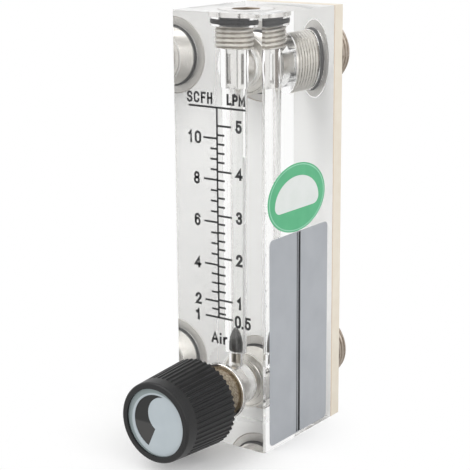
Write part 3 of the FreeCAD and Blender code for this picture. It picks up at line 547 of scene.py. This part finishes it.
def build_fitting(node, height):
    """Port fitting: port thread in the block, flange, and the outer thread behind the plate."""
    bore_r, ring_neck_r, flange_r, flange_end = 4.0, 6.6, 11.0, 1.2
    outer_neck_r, outer_neck_end = 9.6, 4.4
    pipe_r, pipe_floor, mouth_r, rim_r = 5.72, 5.4, 5.9, 8.9
    groove_r = 9.62       # the outer thread is painted darker inside this radius, as painted shade in its roots
    reach = FITTING_OUT - REAR
    inner = chamfered(port_thread, -PORT_DEPTH, 0.8, PORT_CREST)
    outer = chamfered(thread(BULKHEAD_PITCH, BULKHEAD_CREST, BULKHEAD_ROOT), reach, 0.8, BULKHEAD_CREST)
    rows = [(-PORT_DEPTH, bore_r), (-PORT_DEPTH, 7.0)]
    rows += rows_between(-PORT_DEPTH + 0.1, -PORT_GLAND_DEPTH - 0.05, PORT_PITCH / THREAD_STEPS, inner)
    rows += [(-PORT_GLAND_DEPTH, 7.5), (-PORT_GLAND_DEPTH, ring_neck_r), (0.0, ring_neck_r),
             (0.0, flange_r - 0.2), (0.2, flange_r), (flange_end, flange_r), (flange_end, outer_neck_r),
             (outer_neck_end, outer_neck_r)]
    rows += rows_between(outer_neck_end + 0.05, reach - 0.02, BULKHEAD_PITCH / THREAD_STEPS, outer)
    rows += [(reach, rim_r), (reach, mouth_r), (reach - 0.3, pipe_r), (pipe_floor, pipe_r),
             (pipe_floor - 1.0, bore_r)]
    piece = turned(node + "_turning", rows, (0, REAR, height), Y, NICKEL, METAL_FACETS,
                   slot="nickelled_brass")

    def in_block(place):
        return place.y < REAR - PORT_GLAND_DEPTH - 0.1

    def in_block_groove(place):
        return in_block(place) and PORT_ROOT - 0.15 < off_axis_at(place, height) < PORT_ROOT + 0.2

    def on_outer_thread(place):
        return place.y > PLATE_BACK and off_axis_at(place, height) > BULKHEAD_ROOT - 0.15

    def in_outer_groove(place):
        behind = place.y > PLATE_BACK + 0.1
        return behind and BULKHEAD_ROOT - 0.15 < off_axis_at(place, height) < groove_r

    def on_flange_face(place):
        return abs(place.y - REAR) < 0.25 and off_axis_at(place, height) > 8.0

    # Painted light on the one nickel part: the outer thread and its roots darker as painted shade, the thread
    # in the block lighter as a painted highlight, and its roots darker as painted shade.
    other_finish(piece, BULKHEAD_SHADE_NICKEL, on_outer_thread)
    other_finish(piece, SHADED_GROOVE, in_outer_groove)
    other_finish(piece, THREAD_HIGHLIGHT_NICKEL, in_block)
    other_finish(piece, PALE_SHADED_GROOVE, in_block_groove)
    other_finish(piece, FLANGE_NICKEL, on_flange_face)
    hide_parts(node)


build_fitting("outlet_fitting", OUTLET_Z)
build_fitting("inlet_fitting", INLET_Z)


def build_plug():
    """Plug over the tube: thread, neck for the sealing ring, and a head with a hexagon recess."""
    key, countersink = hexagon(7.0), hexagon(7.5)
    neck_r, rim_r, recess = 5.0, 7.5, 3.0
    key_reach = 4.4       # just outside the countersink's corners
    rows = [(PLUG_LOW, 0.0), (PLUG_LOW, 5.0)]
    rows += rows_between(PLUG_LOW + 0.1, PLUG_THREAD_TOP - 0.05, PLUG_PITCH / THREAD_STEPS,
                         chamfered(plug_thread, PLUG_LOW, 0.4, PLUG_CREST))
    rows += [(PLUG_THREAD_TOP, 5.2), (PLUG_THREAD_TOP, neck_r), (PLUG_SEAT_Z, neck_r),
             (PLUG_SEAT_Z, PLUG_HEAD_R), (PLUG_CHAMFER_Z, PLUG_HEAD_R), (PLUG_HIGH, rim_r),
             (PLUG_HIGH, countersink), (PLUG_HIGH - 0.25, key), (PLUG_HIGH - recess, key),
             (PLUG_HIGH - recess - 0.4, 0.0)]
    piece = turned("top_plug_turning", rows, (0, TUBE_Y, 0), Z, BRIGHT_NICKEL, METAL_FACETS, closed=False,
                   slot="nickelled_brass")

    def in_thread(place):
        return place.z < PLUG_THREAD_TOP - 0.1

    def in_groove(place):
        return in_thread(place) and off_tube_axis(place) < PLUG_ROOT + 0.18

    def on_chamfer(place):
        return PLUG_CHAMFER_Z < place.z < PLUG_HIGH - 0.01 and off_tube_axis(place) > rim_r

    def in_key(place):
        return place.z > PLUG_HIGH - recess - 0.5 and off_tube_axis(place) < key_reach

    # Painted shade on the chamfer and in the hexagon recess, a painted highlight on the thread, and painted
    # shade in its roots.
    other_finish(piece, SHADED_GROOVE, lambda place: on_chamfer(place) or in_key(place))
    other_finish(piece, THREAD_HIGHLIGHT_NICKEL, in_thread)
    other_finish(piece, PALE_SHADED_GROOVE, in_groove)
    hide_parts("top_plug")


build_plug()


def knurl(along, angle):
    """Radius of the collar's diamond knurl, whose diamonds are 1 mm long."""
    crest_r, depth, diamonds = 6.7, 0.28, 42
    turns = angle * diamonds / (2 * math.pi)
    one = abs(((turns + along) % 1.0) * 2 - 1)
    other = abs(((turns - along) % 1.0) * 2 - 1)
    return crest_r - depth * max(one, other)


def build_bonnet():
    """Knurled collar, bright flange with a ring groove, and plain shank in one turning."""
    bore_r, barrel_r, neck_r, neck_end = 3.03, 2.58, 4.4, 3.5
    tip_r, relief_r = 6.0, 6.45       # collar at its outer end, and beside the knurl
    groove_in, groove_out, groove_depth = 7.15, 7.35, 0.2
    reach, shank_end = BONNET_OUT - FRONT, BONNET_IN - FRONT
    rows = [(reach, bore_r), (reach, tip_r), (reach + 0.5, relief_r)]
    rows += rows_between(reach + 0.6, -0.5, 0.16, knurl)
    rows += [(-0.4, relief_r), (0.0, relief_r), (0.0, groove_in), (groove_depth, groove_in),
             (groove_depth, groove_out), (0.0, groove_out), (0.0, FLANGE_R - 0.3), (0.3, FLANGE_R),
             (FLANGE_DEPTH, FLANGE_R), (FLANGE_DEPTH, neck_r), (neck_end, neck_r), (neck_end, SHANK_R),
             (shank_end - 0.3, SHANK_R), (shank_end, SHANK_R - 0.3), (shank_end, barrel_r),
             (neck_end, barrel_r), (neck_end, bore_r)]
    piece = turned("valve_bonnet_turning", rows, (0, FRONT, INLET_Z), Y, BRIGHT_NICKEL, KNURL_FACETS,
                   slot="nickelled_brass")

    def on_collar(place):
        return place.y < FRONT + 0.05 and off_axis_at(place, INLET_Z) < groove_in

    def in_ring_groove(place):
        radius = off_axis_at(place, INLET_Z)
        return FRONT < place.y < FRONT + groove_depth + 0.05 and groove_in - 0.05 < radius < groove_out + 0.05

    # brass collar, its darkness partly painted shade
    other_finish(piece, COLLAR_BRASS, on_collar)
    # painted shade in the ring groove
    other_finish(piece, SHADED_GROOVE, in_ring_groove)
    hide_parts("valve_bonnet")


build_bonnet()

# ---------------------------------------------------------------- print on the scale face

PRINT_FACE = FRONT - 0.02
PRINT_BACK = FRONT - 0.005


def box_faces(start):
    """Faces of a box whose eight corners start at that index, four near and then four far."""
    return [tuple(start + k for k in quad) for quad in (
        (0, 1, 2, 3), (7, 6, 5, 4), (0, 4, 5, 1), (1, 5, 6, 2), (2, 6, 7, 3), (3, 7, 4, 0))]


def bars(name, boxes, material, plane="front", near=PRINT_FACE, far=PRINT_BACK):
    """Flat printed bars, each (across low, across high, up low, up high), on the front or side face."""
    vertices, faces = [], []
    for left, right, low, high in boxes:
        faces += box_faces(len(vertices))
        corners = ((left, low), (right, low), (right, high), (left, high))
        for depth in (near, far):
            for across, up in corners:
                place = (across, depth, up) if plane == "front" else (depth, across, up)
                vertices.append(Vector(place))
    new_piece(name, vertices, faces, material, slot="mark_dark", printed=True)


LINE = 0.55           # width of the scale's lines
SCALE_X, SCALE_TOP, SCALE_FOOT = -0.2, 94.9, 36.6
TOP_LINE = (-9.7, 9.2)
RIGHT_TICKS = {5: 90.0, 4: 77.6, 3: 65.4, 2: 53.6, 1: 41.65, 0.5: 36.6}      # value: height
LEFT_TICKS = {10: 86.55, 8: 75.25, 6: 63.5, 4: 51.55, 2: 41.15, 1: 36.6}
RIGHT_LONG, RIGHT_SHORT = 4.5, 2.2
LEFT_LONG, LEFT_SHORT = -4.8, -2.5
RIGHT_BETWEEN, LEFT_BETWEEN = (4, 4, 4, 4, 0), (3, 3, 3, 3, 1)     # short ticks between two long ones
LOW_RIGHT_TICKS = (39.55, 37.75)      # the lowest short ones, unevenly spaced


def tick(end, height):
    """Bar from the scale's upright line to end, at that height."""
    return (min(SCALE_X, end), max(SCALE_X, end), height - LINE / 2, height + LINE / 2)


def scale_side(heights, long_end, short_end, between):
    """The long ticks of one side of the scale, and evenly spaced short ones between them."""
    ticks = [tick(long_end, height) for height in heights]
    for upper, lower, count in zip(heights, heights[1:], between):
        ticks += [tick(short_end, upper + (lower - upper) * k / (count + 1)) for k in range(1, count + 1)]
    return ticks


def scale_bars():
    """The line over the scale, its upright line, and the ticks on both sides."""
    half = LINE / 2
    boxes = [(*TOP_LINE, SCALE_TOP - half, SCALE_TOP + half),
             (SCALE_X - half, SCALE_X + half, SCALE_FOOT, SCALE_TOP)]
    boxes += scale_side(list(RIGHT_TICKS.values()), RIGHT_LONG, RIGHT_SHORT, RIGHT_BETWEEN)
    boxes += [tick(RIGHT_SHORT, height) for height in LOW_RIGHT_TICKS]
    boxes += scale_side(list(LEFT_TICKS.values()), LEFT_LONG, LEFT_SHORT, LEFT_BETWEEN)
    return boxes


bars("scale_lines", scale_bars(), INK)


def arc(x, y, across, up, start, end, steps=14):
    """Points along part of an ellipse, its angles in degrees."""
    points = []
    for k in range(steps + 1):
        angle = math.radians(start + (end - start) * k / steps)
        points.append((x + across * math.cos(angle), y + up * math.sin(angle)))
    return points


# Each letter has its own width, and a list of strokes in a box one unit wide and one unit high.
GLYPHS = {
    "0": (1.0, [arc(0.5, 0.7, 0.5, 0.3, 0, 180) + arc(0.5, 0.3, 0.5, 0.3, 180, 360) + [(1.0, 0.7)]]),
    "1": (0.62, [[(0.0, 0.76), (0.3, 0.84), (0.62, 1.0), (0.62, 0.0)]]),
    "2": (1.0, [arc(0.5, 0.72, 0.5, 0.28, 175, -30) + [(0.0, 0.0), (1.0, 0.0)]]),
    "3": (1.0, [arc(0.48, 0.76, 0.44, 0.24, 160, -90), arc(0.48, 0.26, 0.5, 0.26, 90, -165)]),
    "4": (1.0, [[(0.76, 0.0), (0.76, 1.0), (0.0, 0.27), (1.0, 0.27)]]),
    "5": (1.0, [[(0.94, 1.0), (0.16, 1.0), (0.08, 0.5)] + arc(0.5, 0.32, 0.5, 0.32, 140, -160)]),
    "6": (1.0, [arc(0.5, 0.72, 0.48, 0.28, 25, 180) + [(0.02, 0.3)], arc(0.5, 0.31, 0.48, 0.31, 0, 360, 24)]),
    "8": (1.0, [arc(0.5, 0.76, 0.43, 0.24, 0, 360, 20), arc(0.5, 0.26, 0.5, 0.26, 0, 360, 20)]),
    ".": (0.2, [[(0.1, 0.0), (0.1, 0.02)]]),
    "S": (1.0, [arc(0.5, 0.75, 0.46, 0.25, 15, 265) + arc(0.5, 0.25, 0.5, 0.25, 85, -165)]),
    "C": (1.0, [arc(0.5, 0.7, 0.5, 0.3, 10, 180) + arc(0.5, 0.3, 0.5, 0.3, 180, 350)]),
    "F": (0.85, [[(0.1, 0.0), (0.1, 1.0), (1.0, 1.0)], [(0.1, 0.52), (0.85, 0.52)]]),
    "H": (1.0, [[(0.06, 0.0), (0.06, 1.0)], [(0.94, 0.0), (0.94, 1.0)], [(0.06, 0.52), (0.94, 0.52)]]),
    "L": (0.85, [[(0.1, 1.0), (0.1, 0.0), (1.0, 0.0)]]),
    "P": (1.0, [[(0.08, 0.0), (0.08, 1.0), (0.55, 1.0)] + arc(0.55, 0.73, 0.4, 0.27, 90, -90)
                + [(0.08, 0.46)]]),
    "M": (1.25, [[(0.05, 0.0), (0.05, 1.0), (0.5, 0.2), (0.95, 1.0), (0.95, 0.0)]]),
    "A": (1.2, [[(0.0, 0.0), (0.5, 1.0), (1.0, 0.0)], [(0.18, 0.32), (0.82, 0.32)]]),
    "i": (0.25, [[(0.5, 0.0), (0.5, 0.58)], [(0.5, 0.98), (0.5, 1.0)]]),
    "r": (0.65, [[(0.15, 0.0), (0.15, 0.6)], [(0.15, 0.42)] + arc(0.9, 0.36, 0.7, 0.3, 160, 85)]),
}


def square_ends(points, width):
    """Lengthen an open line of points by half its width at both ends."""
    start, end = (points[1] - points[0]).normalized(), (points[-1] - points[-2]).normalized()
    return [points[0] - start * width / 2] + points[1:-1] + [points[-1] + end * width / 2]


def stroke(points, width):
    """Corners of a flat stroke along a line of points, as a strip of left and right pairs."""
    turned_back, mitre_limit = 0.2, 0.5       # a line that turns right back, and the sharpest mitre
    points = [Vector(point) for point in points]
    steps = [(b - a).normalized() for a, b in zip(points, points[1:])]
    is_open = len(points) == 2 or (points[0] - points[-1]).length > width / 2
    if is_open:
        points = square_ends(points, width)
    pairs = []
    for point, behind, ahead in zip(points, [steps[0]] + steps, steps + [steps[-1]]):
        along = behind + ahead
        along = along.normalized() if along.length > turned_back else ahead
        side = Vector((-along.y, along.x))
        reach = width / 2 / max(along.dot(ahead), mitre_limit)
        pairs.append((point + side * reach, point - side * reach))
    return pairs


def letters(name, text, left, low, height, width, gap, weight=0.66):
    """Generic lettering on the scale face: left and low are the first letter's corner."""
    vertices, faces = [], []
    start = left + weight / 2
    for character in text:
        share, strokes = GLYPHS[character]
        span = width * share
        for points in strokes:
            placed = [(start + x * span, low + weight / 2 + y * (height - weight)) for x, y in points]
            first = len(vertices)
            for one, other in stroke(placed, weight):
                vertices += [Vector((one.x, PRINT_FACE, one.y)), Vector((other.x, PRINT_FACE, other.y))]
            faces += [(first + 2 * k, first + 2 * k + 2, first + 2 * k + 3, first + 2 * k + 1)
                      for k in range(len(placed) - 1)]
        start += span + gap
    new_piece(name, vertices, faces, INK, slot="mark_dark", printed=True)


# Piece, text, left, low, height, width of a letter, gap between letters and, where it is not usual, weight.
LETTERING = [
    ("unit_left", "SCFH", -10.2, 95.7, 3.1, 1.35, 0.95, 0.6),
    ("unit_right", "LPM", 2.9, 95.8, 3.0, 1.35, 0.7, 0.7),
    ("medium", "Air", -2.85, 29.05, 3.2, 1.5, 0.85),
    ("right_5", "5", 5.8, 88.5, 3.5, 1.4, 0, 0.74),
    ("right_4", "4", 5.75, 75.9, 3.25, 1.55, 0, 0.8),
    ("right_3", "3", 5.8, 63.8, 3.5, 1.4, 0, 0.74),
    ("right_2", "2", 5.75, 52.05, 3.5, 1.4, 0, 0.8),
    ("right_1", "1", 6.0, 39.9, 3.5, 1.4, 0, 0.85),
    ("right_half", "0.5", 5.2, 34.6, 3.6, 1.4, 0.8, 0.7),
    ("left_10", "10", -9.9, 84.65, 3.5, 1.55, 1.2),
    ("left_8", "8", -8.2, 73.45, 3.5, 1.4, 0),
    ("left_6", "6", -8.15, 61.8, 3.5, 1.4, 0),
    ("left_4", "4", -8.35, 49.85, 3.25, 1.5, 0, 0.78),
    ("left_2", "2", -8.2, 39.35, 3.4, 1.4, 0, 0.72),
    ("left_1", "1", -8.15, 34.8, 3.3, 1.35, 0, 0.85),
]
for label in LETTERING:
    letters(*label)

# ---------------------------------------------------------------- side label and sticker


def build_label_lines():
    """A thin and a wide dark line up the label, placed from the block's front face."""
    lines, margin, depth = ((15.55, 16.0), (16.35, 17.35)), 0.2, 0.02
    face = node_span("side_label", X)[1]
    low, high = node_span("side_label", Z)
    boxes = [(FRONT + start, FRONT + end, low + margin, high - margin) for start, end in lines]
    bars("label_lines", boxes, LABEL_INK, "side", face - depth, face)


build_label_lines()


def sticker_print(name, loops, depth, material):
    """A flat printed field on the sticker, bounded by one loop of points or by two for a ring."""
    vertices = [Vector((depth, across, up)) for loop in loops for across, up in loop]
    count = len(loops[0])
    faces = [tuple(range(count))] if len(loops) == 1 else ring_faces(count)
    new_piece(name, vertices, faces, material, slot="sticker_green")


def build_sticker_print():
    """A thin pale line round the oval, and a bare white field with a straight foot."""
    face = node_span("inspection_sticker", X)[1]
    y, z = node_centre("inspection_sticker", Y), node_centre("inspection_sticker", Z)
    (left, right), (low, high) = (node_span("inspection_sticker", axis) for axis in (Y, Z))
    half_width, half_height = (right - left) / 2, (high - low) / 2
    points, line_out, line_in = 72, 0.965, 0.935

    def oval(share):
        return arc(y, z, half_width * share, half_height * share, 0, 360 - 360 / points, points - 1)

    sticker_print("sticker_edge_line", [oval(line_out), oval(line_in)], face + 0.008, PALE_GREEN)
    foot, middle = z - 3.25, z - 1.2
    dome_across, dome_up, corner_left, corner_right = 10.7, 7.2, 2.4, 2.6
    field = arc(y, middle, dome_across, dome_up, 0, 180, 40)
    field += arc(y - dome_across + corner_left, middle, corner_left, middle - foot, 180, 270, 8)
    field += arc(y + dome_across - corner_right, middle, corner_right, middle - foot, 270, 360, 8)
    sticker_print("sticker_field", [field], face + 0.012, STICKER_WHITE)


build_sticker_print()

# ---------------------------------------------------------------- knob cap


def build_cap_edge():
    """Greyer crescent round the cap, a rim band that is widened at its upper left by painted shade."""
    face, middle_z = node_span("knob_cap", Y)[0] - 0.01, node_centre("knob_cap", Z)
    points, outer_r, inner_r = 72, 9.38, 8.68
    inner_x, inner_z = 0.5, middle_z - 0.45
    outer = arc(0, middle_z, outer_r, outer_r, 0, 360 - 360 / points, points - 1)
    inner = arc(inner_x, inner_z, inner_r, inner_r, 0, 360 - 360 / points, points - 1)
    vertices = [Vector((across, face, up)) for loop in (outer, inner) for across, up in loop]
    faces = [(a, d, c, b) for a, b, c, d in ring_faces(points)]       # turned to look outwards
    new_piece("cap_edge", vertices, faces, CAP_EDGE, slot="cap_grey", body="valve_spindle", printed=True)


build_cap_edge()

# ---------------------------------------------------------------- finishes on the CAD nodes

CAD_FINISHES = {
    "back_plate": CREAM, "upper_float_stop": STOP, "float": FLOAT, "float_seat": SEAT_METAL,
    "valve_seat": SEAT_METAL, "valve_stem": STEEL, "knob": KNOB, "knob_cap": CAP, "knob_pointer": MARK,
    "knob_screw": STEEL, "side_label": LABEL, "inspection_sticker": GREEN, "outlet_o_ring": RUBBER,
    "inlet_o_ring": RUBBER, "top_plug_o_ring": RUBBER, "bonnet_o_ring": RUBBER, "stem_o_ring": RUBBER,
}
for node, material in CAD_FINISHES.items():
    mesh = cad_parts[node].data
    mesh.materials.clear()
    mesh.materials.append(material)

# ---------------------------------------------------------------- floor, backdrop and light


def seeing_rays(tree):
    """1 for rays from the camera, also by reflection or through the acrylic; 0 for rays that carry light."""
    path = tree.nodes.new("ShaderNodeLightPath")
    seeing = path.outputs["Is Camera Ray"]
    for kind in ("Is Glossy Ray", "Is Transmission Ray"):
        either = tree.nodes.new("ShaderNodeMath")
        either.operation = "MAXIMUM"
        tree.links.new(seeing, either.inputs[0])
        tree.links.new(path.outputs[kind], either.inputs[1])
        seeing = either.outputs[0]
    return seeing


def floor_finish():
    """Matt white, which keeps the object's shadow close to it and is seen as plain white further off."""
    finish = Finish("studio_white", (0.9, 0.9, 0.9), roughness=1.0)
    finish.shader.inputs["Specular IOR Level"].default_value = 0.0
    finish.vary_colour(finish.noise(40.0), (0.885, 0.885, 0.885))
    matt = finish.shader.outputs["BSDF"]

    middle, fade_start, fade_end = mm(-12, -16, 0), 15, 52
    distance = finish.node("ShaderNodeVectorMath")
    distance.operation = "DISTANCE"
    finish.link(finish.place, distance.inputs[0])
    distance.inputs[1].default_value = middle
    far = finish.ramp(distance.outputs["Value"], fade_start, fade_end)
    far.interpolation_type = "SMOOTHSTEP"

    glow = finish.node("ShaderNodeEmission", Strength=0.12)
    lifted = finish.node("ShaderNodeAddShader")
    finish.link(matt, lifted.inputs[0])
    finish.link(glow.outputs["Emission"], lifted.inputs[1])
    white = finish.node("ShaderNodeEmission", Strength=1.0)
    faded = finish.mix_shaders(far.outputs["Result"], lifted.outputs["Shader"], white.outputs["Emission"])
    finish.show(finish.mix_shaders(seeing_rays(finish.tree), matt, faded))
    return finish.material


def build_floor():
    size = 3.0            # metres from the middle to each side
    corners = [(-size, -size, 0), (size, -size, 0), (size, size, 0), (-size, size, 0)]
    mesh = bpy.data.meshes.new("floor")
    mesh.from_pydata(corners, [], [(0, 1, 2, 3)])
    mesh.materials.append(floor_finish())
    floor = bpy.data.objects.new("floor", mesh)
    SCENE.collection.objects.link(floor)


build_floor()


def build_world():
    """White for the camera, for reflections and through the acrylic; a softer level as light."""
    world = bpy.data.worlds.new("studio")
    world.use_nodes = True
    SCENE.world = world
    tree = world.node_tree
    tree.nodes.clear()

    def background(strength):
        node = tree.nodes.new("ShaderNodeBackground")
        node.inputs["Color"].default_value = (1, 1, 1, 1)
        node.inputs["Strength"].default_value = strength
        return node.outputs["Background"]

    output = tree.nodes.new("ShaderNodeOutputWorld")
    mix = tree.nodes.new("ShaderNodeMixShader")
    tree.links.new(seeing_rays(tree), mix.inputs["Fac"])
    tree.links.new(background(0.5), mix.inputs[1])
    tree.links.new(background(1.0), mix.inputs[2])
    tree.links.new(mix.outputs["Shader"], output.inputs["Surface"])


build_world()


def sun(name, direction_from, strength, softness):
    """A lamp that lights the whole scene evenly from one side; softness is its width in degrees."""
    stand_off = 400
    data = bpy.data.lights.new(name, "SUN")
    data.energy = strength
    data.angle = math.radians(softness)
    light = bpy.data.objects.new(name, data)
    SCENE.collection.objects.link(light)
    light.location = mm(*(stand_off * v for v in direction_from))
    light.rotation_euler = Vector(direction_from).to_track_quat("Z", "Y").to_euler()


sun("key", (-0.4, -0.6, 1.1), 1.4, 45)
sun("fill", (0.85, -0.45, 0.5), 0.9, 60)

# ---------------------------------------------------------------- camera

CAMERA_PLACE = (221.17, -314.12, 153.05)
CAMERA_YAW, CAMERA_PITCH, CAMERA_ROLL = 35.98, -14.10, -0.42     # degrees; a yaw of 0 looks along +Y
SENSOR_WIDTH, LENS = 36.0, 107.77


def build_camera():
    data = bpy.data.cameras.new("camera")
    data.sensor_width = SENSOR_WIDTH
    data.lens = LENS
    data.clip_start = 0.01
    camera = bpy.data.objects.new("camera", data)
    SCENE.collection.objects.link(camera)
    matrix = Matrix.Translation(mm(*CAMERA_PLACE))
    for degrees, axis in ((CAMERA_YAW, "Z"), (90 + CAMERA_PITCH, "X"), (CAMERA_ROLL, "Z")):
        matrix = matrix @ Matrix.Rotation(math.radians(degrees), 4, axis)
    camera.matrix_world = matrix
    SCENE.camera = camera


build_camera()
SCENE.view_settings.view_transform = "Standard"
